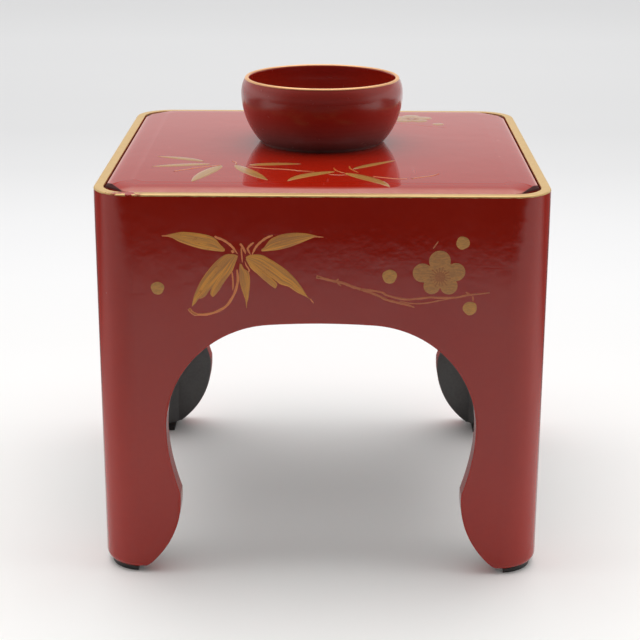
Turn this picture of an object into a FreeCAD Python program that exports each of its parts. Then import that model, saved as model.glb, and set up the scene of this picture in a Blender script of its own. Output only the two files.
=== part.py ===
import FreeCAD, Part
import math
import os

# Footed lacquer lunch box with a drop-in lid and a bowl.  Millimetres, +Z up, the
# front at -Y, and the origin on the standing surface under the middle of the case.

# Case, taken over its outside.
WIDTH = 212.0
RIM_HEIGHT = 189.0
WALL = 12.0
CORNER_RADIUS = 19.0
RIM_LIP = 4.5
RIM_ARRIS = 0.7

# Arch and foot, the same on all four sides.  Widths run in from the outer face.
# The shoulder's radius is a share of half the width between the necks, and each neck
# flares out to its cusp over the flare's height.
ARCH_TOP = 127.8
CROWN_RADIUS = 369.0
SHOULDER_SHARE = 0.7125
NECK_WIDTH = 32.6
CUSP_WIDTH = 38.6
CUSP_HEIGHT = 41.3
FLARE_HEIGHT = 18.424
TOE_WIDTH = 37.1
TOE_HEIGHT = 26.6
FOOT_WIDTH = 20.2
FOOT_ROUNDING = 4.0
ARCH_ARRIS = 1.2
INNER_ARRIS = 0.8
CREASE_ROOM = 0.6

# Black soles under the feet, set along the left and right sides.
SOLE_THICKNESS = 2.0
SOLE_INSET = 2.6
SOLE_WIDTH = 14.4
SOLE_LENGTH = 20.4

# Joint between leg and apron, with a loose tongue let into both.
LEG_REACH = 46.0
TONGUE_THICKNESS = 2.4
TONGUE_REACH = 6.0
TONGUE_STOP = 5.0
TONGUE_END_PLAY = 0.2

# Floor board in a groove that runs round the inside.
FLOOR_ABOVE_ARCH = 4.0
FLOOR_THICKNESS = 6.0
GROOVE_DEPTH = 3.0
GROOVE_PLAY = 0.2
FLOOR_EDGE_PLAY = 0.3

# Lid panel, flat in the middle and crowned down to every edge.
LID_THICKNESS = 7.0
LID_PROUD = 2.0
LID_PLAY = 0.8
LID_CORNER_CUT = 12.0
LID_CROWN_RADIUS = 40.0
LID_CROWN_DROP = 2.2
LID_ARRIS = 1.0

# Bowl, turned, with a low foot ring.
BOWL_DIAMETER = 83.0
BOWL_HEIGHT = 33.6
BOWL_BELLY_HEIGHT = 25.4
BOWL_LIP_INSET = 1.8
BOWL_BASE_INSET = 10.3
BOWL_WALL = 2.2
BOWL_FLOOR = 3.4
FOOT_RING_WIDTH = 3.2
FOOT_RING_HEIGHT = 1.2
BOWL_SIDE = -1.0
BOWL_BACK = 9.0

# Levels and positions that follow.
HALF = WIDTH / 2
SEAT_HEIGHT = RIM_HEIGHT + LID_PROUD - LID_THICKNESS
LID_TOP = RIM_HEIGHT + LID_PROUD
FLOOR_BOTTOM = ARCH_TOP + FLOOR_ABOVE_ARCH
JOINT = HALF - LEG_REACH
INNER_CORNER_CUT = FOOT_WIDTH - WALL - INNER_ARRIS - CREASE_ROOM
SLANT = 2 - math.sqrt(2)
OVERCUT = 1.0
BEYOND = WIDTH

# Each side with its turn from the front, the corner at its start and its two ends.
SIDES = (
    ("front", 0, "front_left", ("left", "right")),
    ("right", 90, "front_right", ("front", "back")),
    ("back", 180, "back_right", ("right", "left")),
    ("left", 270, "back_left", ("back", "front")),
)


def vec(x, y, z):
    """A point or direction."""
    return FreeCAD.Vector(x, y, z)


def turned(shape, angle):
    """A copy of a shape turned about the upright axis of the case."""
    copy = shape.copy()
    copy.rotate(vec(0, 0, 0), vec(0, 0, 1), angle)
    return copy


def box(x0, x1, y0, y1, z0, z1):
    """A box between two corners."""
    return Part.makeBox(x1 - x0, y1 - y0, z1 - z0, vec(x0, y0, z0))


def upright_edges(shape):
    """Edges of a shape that stand upright."""
    return [e for e in shape.Edges if abs(e.tangentAt(e.FirstParameter).z) > 0.9]


def rounded_block(width, radius, z0, z1):
    """A square block centred on the case, with its upright edges rounded."""
    half = width / 2
    block = box(-half, half, -half, half, z0, z1)
    return block.makeFillet(radius, upright_edges(block))


def slanted_block(spread, z0, z1):
    """A block the shape of the case's inside, spread outwards all round, corners cut at a slant."""
    half = HALF - WALL + spread
    block = box(-half, half, -half, half, z0, z1)
    return block.makeChamfer(INNER_CORNER_CUT + SLANT * spread, upright_edges(block))


def level_edges(shape, height):
    """Edges of a shape that lie wholly at one height."""
    found = []
    for edge in shape.Edges:
        bounds = edge.BoundBox
        if abs(bounds.ZMin - height) < 1e-4 and abs(bounds.ZMax - height) < 1e-4:
            found.append(edge)
    return found


def arch_curve():
    """Half of the arch as centres and radii: shoulder radius, its centre and where it ends."""
    neck_x = HALF - NECK_WIDTH
    radius = SHOULDER_SHARE * neck_x
    centre_x = neck_x - radius
    span = CROWN_RADIUS - radius
    centre_z = ARCH_TOP - CROWN_RADIUS + math.sqrt(span ** 2 - centre_x ** 2)
    touch_x = centre_x * CROWN_RADIUS / span
    touch_z = ARCH_TOP - CROWN_RADIUS + math.sqrt(CROWN_RADIUS ** 2 - touch_x ** 2)
    return neck_x, radius, centre_x, centre_z, touch_x, touch_z


def arch_height(x):
    """Height of the arch at a distance from the middle, on its crown or shoulder."""
    neck_x, radius, centre_x, centre_z, touch_x, touch_z = arch_curve()
    if x <= touch_x:
        return ARCH_TOP - CROWN_RADIUS + math.sqrt(CROWN_RADIUS ** 2 - x ** 2)
    return centre_z + math.sqrt(max(0.0, radius ** 2 - (x - centre_x) ** 2))


def half_arch(sign):
    """Edges of one half of the arch, from the crown's end down to the foot."""
    neck_x, radius, centre_x, centre_z, touch_x, touch_z = arch_curve()
    lean = math.atan2(touch_z - centre_z, touch_x - centre_x) / 2
    mid_x = centre_x + radius * math.cos(lean)
    mid_z = centre_z + radius * math.sin(lean)

    def at(x, z):
        return vec(sign * x, 0, z)

    shoulder = Part.Arc(at(touch_x, touch_z), at(mid_x, mid_z), at(neck_x, centre_z))
    cusp_x = HALF - CUSP_WIDTH
    neck = Part.BezierCurve()
    flare_z = CUSP_HEIGHT + FLARE_HEIGHT
    neck.setPoles([at(neck_x, centre_z), at(neck_x, flare_z), at(cusp_x, CUSP_HEIGHT)])
    foot_x = HALF - FOOT_WIDTH
    toe = Part.Arc(at(cusp_x, CUSP_HEIGHT), at(HALF - TOE_WIDTH, TOE_HEIGHT),
                   at(foot_x, SOLE_THICKNESS))
    drop = Part.LineSegment(at(foot_x, SOLE_THICKNESS), at(foot_x, -OVERCUT))
    return [shoulder.toShape(), neck.toShape(), toe.toShape(), drop.toShape()]


def arch_cutter():
    """The space under the arch, run through the case from front to back."""
    touch_x, touch_z = arch_curve()[4:]
    crown = Part.Arc(vec(-touch_x, 0, touch_z), vec(0, 0, ARCH_TOP), vec(touch_x, 0, touch_z))
    foot_x = HALF - FOOT_WIDTH
    ground = Part.LineSegment(vec(-foot_x, 0, -OVERCUT), vec(foot_x, 0, -OVERCUT))
    edges = half_arch(-1) + [crown.toShape()] + half_arch(1) + [ground.toShape()]
    face = Part.Face(Part.Wire(Part.__sortEdges__(edges)))
    face.translate(vec(0, -BEYOND, 0))
    return face.extrude(vec(0, 2 * BEYOND, 0))


def arch_arrises(frame, face):
    """Curved edges that run along the arches, on wall faces at one distance from the middle."""
    found = []
    for edge in frame.Edges:
        bounds = edge.BoundBox
        if bounds.ZMax > ARCH_TOP + 0.01 or bounds.ZLength < 0.05:
            continue
        if max(bounds.XLength, bounds.YLength) < 0.05:
            continue
        first = edge.valueAt(edge.FirstParameter)
        last = edge.valueAt(edge.LastParameter)
        middle = edge.valueAt((edge.FirstParameter + edge.LastParameter) / 2)
        for a, b in ((0, 1), (1, 0)):
            flat = abs(first[b] - last[b]) < 0.01 and abs(first[b] - middle[b]) < 0.01
            if flat and abs(abs(middle[b]) - face) < 0.01:
                if abs(middle[a]) < HALF - FOOT_WIDTH + 0.01:
                    found.append(edge)
                    break
    return found


def make_frame():
    """Legs and aprons in one ring, before it is parted at the joints."""
    block = rounded_block(WIDTH, CORNER_RADIUS, SOLE_THICKNESS, RIM_HEIGHT)
    block = block.makeFillet(FOOT_ROUNDING, level_edges(block, SOLE_THICKNESS))
    block = block.makeFillet(RIM_ARRIS, level_edges(block, RIM_HEIGHT))
    inside = slanted_block(0, -OVERCUT, RIM_HEIGHT + OVERCUT)
    seat = rounded_block(WIDTH - 2 * RIM_LIP, CORNER_RADIUS - RIM_LIP,
                         SEAT_HEIGHT, RIM_HEIGHT + OVERCUT)
    frame = block.cut(inside).cut(seat)
    arch = arch_cutter()
    frame = frame.cut(arch).cut(turned(arch, 90))
    frame = frame.makeFillet(ARCH_ARRIS, arch_arrises(frame, HALF))
    frame = frame.makeFillet(INNER_ARRIS, arch_arrises(frame, HALF - WALL))
    groove = slanted_block(GROOVE_DEPTH, FLOOR_BOTTOM,
                           FLOOR_BOTTOM + FLOOR_THICKNESS + GROOVE_PLAY)
    return frame.cut(groove)


def tongue_span():
    """Lowest and highest level of a tongue."""
    low = arch_height(JOINT - TONGUE_REACH) + TONGUE_STOP
    return low, SEAT_HEIGHT - TONGUE_STOP


def front_tongue(sign, play):
    """Tongue at one end of the front apron, with play added at its ends."""
    low, high = tongue_span()
    reach = TONGUE_REACH + play
    thick = TONGUE_THICKNESS / 2
    depth = -HALF + (WALL - GROOVE_DEPTH) / 2
    return box(sign * JOINT - reach, sign * JOINT + reach, depth - thick, depth + thick,
               low - play, high + play)


def make_apron(frame):
    """Front apron: the length of the ring between two legs, grooved for its tongues."""
    apron = frame.common(box(-JOINT, JOINT, -BEYOND, 0, -BEYOND, BEYOND))
    for sign in (-1, 1):
        apron = apron.cut(front_tongue(sign, TONGUE_END_PLAY))
    return apron


def make_leg(frame):
    """Front left leg, grooved for the tongues of the two aprons that meet it."""
    leg = frame.common(box(-BEYOND, -JOINT, -BEYOND, -JOINT, -BEYOND, BEYOND))
    leg = leg.cut(front_tongue(-1, TONGUE_END_PLAY))
    return leg.cut(turned(front_tongue(1, TONGUE_END_PLAY), -90))


def make_sole():
    """Sole of the front left foot, its outer corner rounded like the foot's."""
    edge = -(HALF - SOLE_INSET)
    block = rounded_block(-2 * edge, CORNER_RADIUS - SOLE_INSET, 0, SOLE_THICKNESS)
    return block.common(box(-BEYOND, edge + SOLE_WIDTH, -BEYOND, edge + SOLE_LENGTH,
                            -BEYOND, BEYOND))


def make_floor():
    """Floor board, loose in its groove."""
    return slanted_block(GROOVE_DEPTH - FLOOR_EDGE_PLAY,
                         FLOOR_BOTTOM, FLOOR_BOTTOM + FLOOR_THICKNESS)


def crowned_edge(half, sign):
    """One edge of the lid's section, from the flat of its top down to its underside."""
    lean = math.acos(1 - LID_CROWN_DROP / LID_CROWN_RADIUS)
    crown_x = half - LID_CROWN_RADIUS * math.sin(lean)
    crown_z = LID_TOP - LID_CROWN_RADIUS
    arris_x = half - LID_ARRIS
    span = LID_CROWN_RADIUS - LID_ARRIS
    turn = math.asin((arris_x - crown_x) / span)
    arris_z = crown_z + span * math.cos(turn)

    def on_crown(angle):
        return vec(sign * (crown_x + LID_CROWN_RADIUS * math.sin(angle)), 0,
                   crown_z + LID_CROWN_RADIUS * math.cos(angle))

    def on_arris(angle):
        return vec(sign * (arris_x + LID_ARRIS * math.sin(angle)), 0,
                   arris_z + LID_ARRIS * math.cos(angle))

    upright = math.pi / 2
    crown = Part.Arc(on_crown(0), on_crown(turn / 2), on_crown(turn))
    arris = Part.Arc(on_arris(turn), on_arris((turn + upright) / 2), on_arris(upright))
    side = Part.LineSegment(on_arris(upright), vec(sign * half, 0, SEAT_HEIGHT))
    return [crown, arris, side]


def crowned_plate(half):
    """A long plate with the lid's section, reaching to both sides of the middle."""
    left = crowned_edge(half, -1)
    right = crowned_edge(half, 1)
    top = Part.LineSegment(left[0].StartPoint, right[0].StartPoint)
    bottom = Part.LineSegment(left[-1].EndPoint, right[-1].EndPoint)
    edges = [part.toShape() for part in left + [top] + right + [bottom]]
    face = Part.Face(Part.Wire(Part.__sortEdges__(edges)))
    face.translate(vec(0, -BEYOND, 0))
    return face.extrude(vec(0, 2 * BEYOND, 0))


def make_lid():
    """Lid panel: what four crowned plates share, two square to the case and two across its corners."""
    half = HALF - RIM_LIP - LID_PLAY
    lid = crowned_plate(half)
    lid = lid.common(turned(lid, 90))
    across = crowned_plate((2 * half - LID_CORNER_CUT) / math.sqrt(2))
    return lid.common(turned(across, 45)).common(turned(across, 135))


def bulged(x0, z0, belly_x, belly_z):
    """Arc from a point to the widest part of the bowl, upright where it gets there."""
    run = belly_x - x0
    rise = belly_z - z0
    radius = (run ** 2 + rise ** 2) / (2 * run)
    turn = math.copysign(math.atan2(run, abs(rise)), rise)
    mid_x = belly_x - radius + radius * math.cos(turn)
    mid_z = belly_z - radius * math.sin(turn)
    return vec(x0, 0, z0), vec(mid_x, 0, mid_z), vec(belly_x, 0, belly_z)


def make_bowl():
    """Bowl turned about its own axis, with a rounded lip and a low foot ring."""
    belly = BOWL_DIAMETER / 2
    base = belly - BOWL_BASE_INSET
    lip = belly - BOWL_LIP_INSET
    round_over = BOWL_WALL / 2
    lip_z = BOWL_HEIGHT - round_over
    low = bulged(base, 0, belly, BOWL_BELLY_HEIGHT)
    high = bulged(lip, lip_z, belly, BOWL_BELLY_HEIGHT)
    inner_belly = belly - BOWL_WALL
    inner_high = bulged(lip - BOWL_WALL, lip_z, inner_belly, BOWL_BELLY_HEIGHT)
    inner_low = bulged(base - BOWL_WALL, BOWL_FLOOR, inner_belly, BOWL_BELLY_HEIGHT)
    ring = base - FOOT_RING_WIDTH
    outline = [
        Part.LineSegment(vec(ring, 0, 0), low[0]),
        Part.Arc(*low),
        Part.Arc(high[2], high[1], high[0]),
        Part.Arc(high[0], vec(lip - round_over, 0, BOWL_HEIGHT), inner_high[0]),
        Part.Arc(*inner_high),
        Part.Arc(inner_low[2], inner_low[1], inner_low[0]),
        Part.LineSegment(inner_low[0], vec(0, 0, BOWL_FLOOR)),
        Part.LineSegment(vec(0, 0, BOWL_FLOOR), vec(0, 0, FOOT_RING_HEIGHT)),
        Part.LineSegment(vec(0, 0, FOOT_RING_HEIGHT), vec(ring, 0, FOOT_RING_HEIGHT)),
        Part.LineSegment(vec(ring, 0, FOOT_RING_HEIGHT), vec(ring, 0, 0)),
    ]
    face = Part.Face(Part.Wire([part.toShape() for part in outline]))
    bowl = face.revolve(vec(0, 0, 0), vec(0, 0, 1), 360)
    bowl.translate(vec(BOWL_SIDE, BOWL_BACK, LID_TOP))
    return bowl


def save(name, shape):
    """Write one piece, which must be a single sound solid."""
    solid = shape.Solids[0]
    if len(shape.Solids) != 1 or not solid.isValid():
        raise ValueError(name + " is not one sound solid")
    solid.exportStep("parts/" + name + ".step")


def main():
    """Build every piece and write it to its own file."""
    os.makedirs("parts", exist_ok=True)
    frame = make_frame()
    leg = make_leg(frame)
    sole = make_sole()
    twin = sole.mirror(vec(0, 0, 0), vec(1, -1, 0))
    apron = make_apron(frame)
    for side, angle, corner, ends in SIDES:
        save("leg_" + corner, turned(leg, angle))
        save("sole_" + corner, turned(twin if angle % 180 else sole, angle))
        save("apron_" + side, turned(apron, angle))
        for sign, end in zip((-1, 1), ends):
            save("tongue_" + side + "_" + end, turned(front_tongue(sign, 0), angle))
    save("floor_board", make_floor())
    save("lid_panel", make_lid())
    save("bowl", make_bowl())


main()
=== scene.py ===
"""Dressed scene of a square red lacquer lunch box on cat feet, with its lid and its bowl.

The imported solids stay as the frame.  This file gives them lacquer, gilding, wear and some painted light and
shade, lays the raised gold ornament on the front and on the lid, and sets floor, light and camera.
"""

import logging
import math
from dataclasses import dataclass, field
from enum import Enum
from typing import Any, Sequence

import bpy
from mathutils import Matrix, Vector
from mathutils.bvhtree import BVHTree

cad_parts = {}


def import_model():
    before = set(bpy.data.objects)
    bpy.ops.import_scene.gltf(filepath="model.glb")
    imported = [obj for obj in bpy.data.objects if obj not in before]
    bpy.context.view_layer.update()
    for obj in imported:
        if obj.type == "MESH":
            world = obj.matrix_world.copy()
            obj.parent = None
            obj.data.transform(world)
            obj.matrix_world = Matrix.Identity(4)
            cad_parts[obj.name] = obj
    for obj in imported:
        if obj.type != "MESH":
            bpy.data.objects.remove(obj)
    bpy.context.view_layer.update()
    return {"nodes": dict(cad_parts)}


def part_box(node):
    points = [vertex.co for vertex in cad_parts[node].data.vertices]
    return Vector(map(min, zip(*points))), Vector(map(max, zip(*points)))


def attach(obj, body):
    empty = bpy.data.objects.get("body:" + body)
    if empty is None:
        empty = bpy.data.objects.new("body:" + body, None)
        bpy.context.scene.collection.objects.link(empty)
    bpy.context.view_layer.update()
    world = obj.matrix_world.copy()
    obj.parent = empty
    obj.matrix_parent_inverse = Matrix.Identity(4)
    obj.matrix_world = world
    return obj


LOG = logging.getLogger("lunch_box")
MM = 0.001
RIGHT, BACK, UP = Vector((1, 0, 0)), Vector((0, 1, 0)), Vector((0, 0, 1))

Pair = tuple[float, float]
Spot = tuple[float, float, float]
Colour = tuple[float, float, float, float]


def rgb(red: float, green: float, blue: float) -> Colour:
    """A solid colour in linear light."""
    return (red, green, blue, 1.0)


RED = rgb(0.380, 0.0125, 0.0032)
BLACK = rgb(0.0240, 0.0230, 0.0220)
INSIDE_BLACK = rgb(0.1220, 0.1210, 0.1180)


class Face(Enum):
    """Faces that carry ornament."""

    FRONT = "front"
    LID = "lid"


class Layer(Enum):
    """Layers of the ornament: the name of each and how far it stands out, in millimetres."""

    BRANCH = ("plum_branch", 0.07)
    BLOSSOM = ("plum_blossom", 0.13)
    HEART = ("plum_heart", 0.17)
    BUDS = ("plum_buds", 0.13)
    LEAVES = ("bamboo_leaves", 0.15)
    STEMS = ("bamboo_stems", 0.20)


class Kind(Enum):
    """Sockets that a shared effect can have."""

    VALUE = "NodeSocketFloat"
    VECTOR = "NodeSocketVector"
    COLOUR = "NodeSocketColor"


class Graph:
    """Short calls for wiring one node tree."""

    def __init__(self, tree: bpy.types.NodeTree) -> None:
        """Start on an empty tree.

        Args:
            tree: the tree to wire; its nodes are cleared.
        """
        self.tree = tree
        tree.nodes.clear()

    def feed(self, socket: bpy.types.NodeSocket, value: Any) -> None:
        """Link a socket, or set it where the value is a plain one.

        Args:
            socket: the input to feed.
            value: another node's output, or a constant.
        """
        if isinstance(value, bpy.types.NodeSocket):
            self.tree.links.new(value, socket)
        else:
            socket.default_value = value

    def node(self, kind: str, inputs: dict[Any, Any] | None = None, **settings: Any) -> bpy.types.Node:
        """Add a node.

        Args:
            kind: Blender's name for the node.
            inputs: values or links for its inputs, by name or index.
            settings: properties of the node itself.

        Returns:
            The new node.
        """
        made = self.tree.nodes.new(kind)
        for name, value in settings.items():
            setattr(made, name, value)
        for key, value in (inputs or {}).items():
            self.feed(made.inputs[key], value)
        return made

    def calc(self, operation: str, *values: Any, clamp: bool = False) -> bpy.types.NodeSocket:
        """One step of arithmetic.

        Args:
            operation: Blender's name for it, such as ADD.
            values: up to three numbers or links.
            clamp: keep the result between 0 and 1.

        Returns:
            The result.
        """
        inputs = dict(enumerate(values))
        return self.node("ShaderNodeMath", inputs, operation=operation, use_clamp=clamp).outputs[0]

    def vector(self, operation: str, *values: Any) -> bpy.types.NodeOutputs:
        """One step of vector arithmetic.

        Args:
            operation: Blender's name for it, such as SUBTRACT.
            values: up to three vectors or links.

        Returns:
            The results, named Vector and Value.
        """
        return self.node("ShaderNodeVectorMath", dict(enumerate(values)), operation=operation).outputs

    def product(self, first: Any, *others: Any) -> bpy.types.NodeSocket:
        """Numbers multiplied together.

        Args:
            first: the first number.
            others: the rest.

        Returns:
            The product.
        """
        for other in others:
            first = self.calc("MULTIPLY", first, other)
        return first

    def rest(self, share: Any) -> bpy.types.NodeSocket:
        """What a share leaves of 1."""
        return self.calc("SUBTRACT", 1.0, share)

    def ease(self, value: Any, low: float, high: float, origin: float = 0.0) -> bpy.types.NodeSocket:
        """A soft step from 0 at low to 1 at high.

        Args:
            value: what is compared.
            low: where the step starts.
            high: where it ends; below low, the step falls instead.
            origin: what low and high are counted from.

        Returns:
            The step's height.
        """
        up = high > low
        inputs = {"Value": value, "From Min": origin + min(low, high), "From Max": origin + max(low, high),
                  "To Min": 0.0 if up else 1.0, "To Max": 1.0 if up else 0.0}
        return self.node("ShaderNodeMapRange", inputs, interpolation_type="SMOOTHSTEP").outputs[0]

    def fade(self, value: Any, reach: Pair, share: float) -> bpy.types.NodeSocket:
        """A level of 1 that loses a share of itself over a reach of the value."""
        return self.rest(self.product(self.ease(value, *reach), share))

    def span(self, value: Any, low: Any, high: Any) -> bpy.types.NodeSocket:
        """Stretch a value from 0..1 to low..high.

        Args:
            value: what is stretched.
            low: result at 0.
            high: result at 1.

        Returns:
            The stretched value.
        """
        return self.node("ShaderNodeMapRange", {"Value": value, "To Min": low, "To Max": high}).outputs[0]

    def mix(self, share: Any, first: Any, second: Any) -> bpy.types.NodeSocket:
        """Mix two colours.

        Args:
            share: how much of the second shows.
            first: colour at 0.
            second: colour at 1.

        Returns:
            The mixed colour.
        """
        return self.node("ShaderNodeMix", {0: share, 6: first, 7: second}, data_type="RGBA").outputs[2]

    def lerp(self, share: Any, first: Any, second: Any) -> bpy.types.NodeSocket:
        """Mix two numbers.

        Args:
            share: how much of the second counts.
            first: number at 0.
            second: number at 1.

        Returns:
            The mixed number.
        """
        return self.node("ShaderNodeMix", {0: share, 2: first, 3: second}, data_type="FLOAT").outputs[0]

    def ramp(self, value: Any, stops: Sequence[Pair]) -> bpy.types.NodeSocket:
        """A level read off a run of stops.

        Args:
            value: where to read, between 0 and 1.
            stops: places and the levels there, in order.

        Returns:
            The level.
        """
        made = self.node("ShaderNodeValToRGB", {0: value})
        elements = made.color_ramp.elements
        elements[0].position, elements[1].position = stops[0][0], stops[-1][0]
        for place, _ in stops[1:-1]:
            elements.new(place)
        for element, (_, level) in zip(elements, stops):
            element.color = rgb(level, level, level)
        return made.outputs[0]

    def noise(self, place: Any, scale: Any, detail: float = 2.0, rough: float = 0.5) -> bpy.types.NodeSocket:
        """Cloudy noise between 0 and 1.

        Args:
            place: coordinates.
            scale: features per unit.
            detail: finer layers.
            rough: weight of the finer layers.

        Returns:
            The noise value.
        """
        inputs = {"Vector": place, "Scale": scale, "Detail": detail, "Roughness": rough}
        return self.node("ShaderNodeTexNoise", inputs).outputs[0]

    def stretched(self, place: Any, scale: Any, turn: Sequence[float] = (0, 0, 0)) -> bpy.types.NodeSocket:
        """Coordinates scaled apart along each axis.

        Args:
            place: coordinates.
            scale: factor for each axis.
            turn: rotation before the scale, in degrees.

        Returns:
            The new coordinates.
        """
        spin = [math.radians(angle) for angle in turn]
        return self.node("ShaderNodeMapping", {"Vector": place, "Rotation": spin, "Scale": scale}).outputs[0]

    def split(self, place: Any) -> tuple[bpy.types.NodeSocket, ...]:
        """The three parts of a vector."""
        return tuple(self.node("ShaderNodeSeparateXYZ", {0: place}).outputs)

    def near(self, place: Any, spot: Sequence[float], inner: float, outer: float) -> bpy.types.NodeSocket:
        """A soft ball around a spot.

        Args:
            place: coordinates.
            spot: the ball's middle.
            inner: up to here the ball is full.
            outer: from here on there is nothing of it.

        Returns:
            1 within the ball and 0 outside.
        """
        return self.ease(self.vector("DISTANCE", place, spot)["Value"], outer, inner)


class MaterialGraph(Graph):
    """The graph of one material, with its shader and the point being shaded in the whole object's frame."""

    def __init__(self, name: str) -> None:
        """Start a material.

        Args:
            name: the material's name.
        """
        self.made = bpy.data.materials.new(name)
        self.made.use_nodes = True
        super().__init__(self.made.node_tree)
        self.shader = self.node("ShaderNodeBsdfPrincipled")
        self.node("ShaderNodeOutputMaterial", {"Surface": self.shader.outputs[0]})
        self.place = self.node("ShaderNodeTexCoord").outputs["Object"]

    def effect(self, group: bpy.types.NodeTree, **inputs: Any) -> bpy.types.NodeOutputs:
        """Place a shared effect at the point being shaded.

        Args:
            group: the effect's node group.
            inputs: its other inputs, by name.

        Returns:
            The effect's outputs.
        """
        given = {name.capitalize(): value for name, value in inputs.items()}
        return self.node("ShaderNodeGroup", {"Place": self.place, **given}, node_tree=group).outputs

    def bump(self, height: Any, strength: float, depth: float, below: Any = None) -> bpy.types.NodeSocket:
        """A surface raised by a height.

        Args:
            height: the height.
            strength: how much of it shows.
            depth: metres that a height of 1 stands for.
            below: the normal that it is laid on, where that isn't the mesh's own.

        Returns:
            The new normal.
        """
        inputs = {"Strength": strength, "Distance": depth, "Height": height}
        if below is not None:
            inputs["Normal"] = below
        return self.node("ShaderNodeBump", inputs).outputs[0]

    def finish(self, inputs: dict[str, Any]) -> bpy.types.Material:
        """Feed the shader.

        Args:
            inputs: values or links for the shader's inputs, by name.

        Returns:
            The finished material.
        """
        for name, value in inputs.items():
            self.feed(self.shader.inputs[name], value)
        return self.made


class EffectGraph(Graph):
    """The graph of one shared effect, with what it is given and the point being shaded."""

    def __init__(self, name: str, inputs: dict[str, Kind], outputs: dict[str, Kind]) -> None:
        """Start a node group with its sockets.

        Args:
            name: the group's name.
            inputs: name and kind of each input besides the place.
            outputs: name and kind of each output.
        """
        group = bpy.data.node_groups.new(name, "ShaderNodeTree")
        for label, kind in {"Place": Kind.VECTOR, **inputs}.items():
            group.interface.new_socket(name=label, in_out="INPUT", socket_type=kind.value)
        for label, kind in outputs.items():
            group.interface.new_socket(name=label, in_out="OUTPUT", socket_type=kind.value)
        super().__init__(group)
        self.given = self.node("NodeGroupInput").outputs
        self.place = self.given["Place"]

    def finish(self, outputs: dict[str, Any]) -> bpy.types.NodeTree:
        """Feed the group's outputs.

        Args:
            outputs: a link for each, by name.

        Returns:
            The finished group.
        """
        self.node("NodeGroupOutput", outputs)
        return self.tree


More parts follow.
